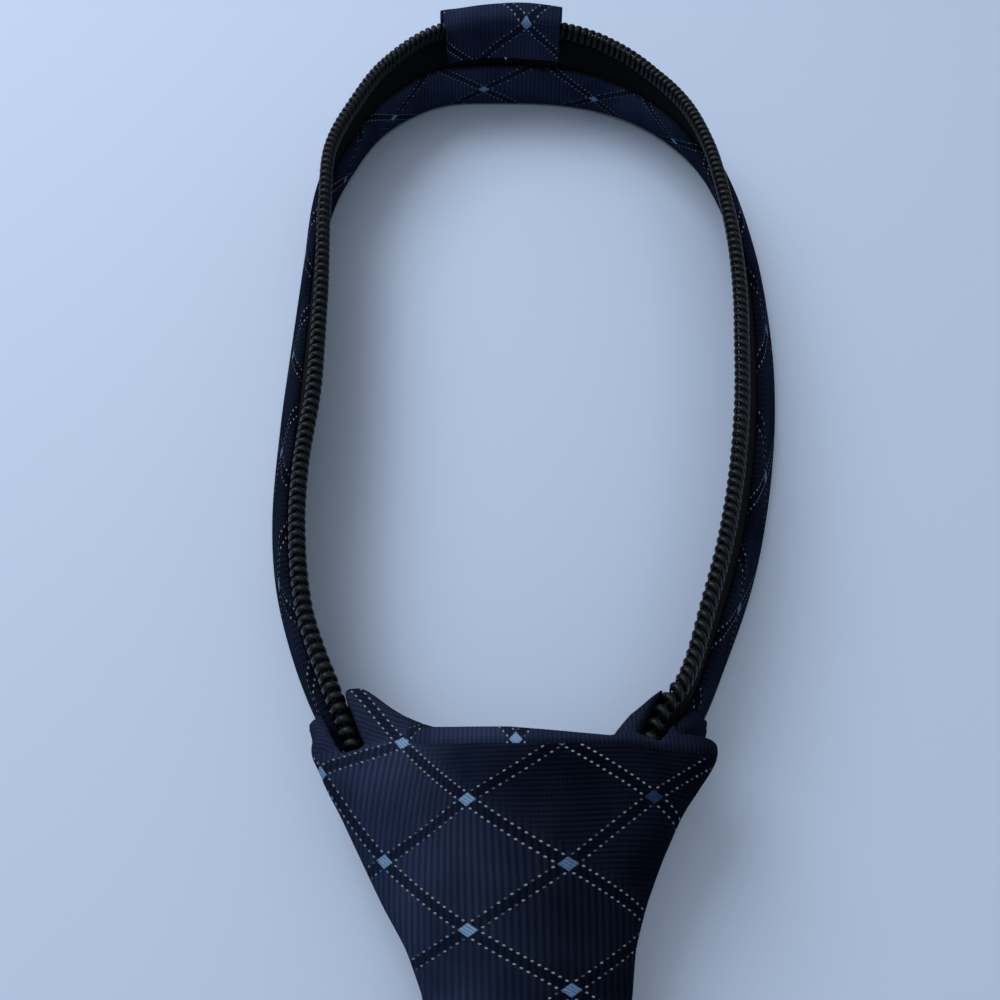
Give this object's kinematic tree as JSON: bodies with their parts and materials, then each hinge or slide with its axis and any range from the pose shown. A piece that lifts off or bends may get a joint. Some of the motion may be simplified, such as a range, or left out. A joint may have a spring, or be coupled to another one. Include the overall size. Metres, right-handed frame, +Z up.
{
  "type": "zipper necktie",
  "caption": "Pre-tied necktie with a hollow knot, a padded front blade and a standing neck loop whose zipper coil closes behind the knot",
  "frame": {"origin": "On the table under the middle of the whole tie's box", "axes": "+X runs across the tie, +Y runs from the blade's tip to the back of the neck loop, +Z runs up from the table to the knot's front face"},
  "size_m": [0.078, 0.6008, 0.0214],
  "materials": {
    "navy_cloth": "ribbed woven navy cloth with a lattice of pale dotted lines and small light-blue diamonds",
    "zipper_tape": "matte black woven zipper tape",
    "zipper_coil": "black nylon coil with a soft gloss",
    "slider_metal": "dark painted metal"
  },
  "bodies": {
    "root": {"knot_wrap": "navy_cloth", "front_blade": "navy_cloth", "neck_strap": "navy_cloth", "zipper_tape_left": "zipper_tape", "zipper_tape_right": "zipper_tape", "zipper_coil_left": "zipper_coil", "zipper_coil_right": "zipper_coil", "top_sleeve": "navy_cloth", "zipper_slider": "slider_metal", "zipper_end_tab": "navy_cloth"}
  },
  "joints": []
}
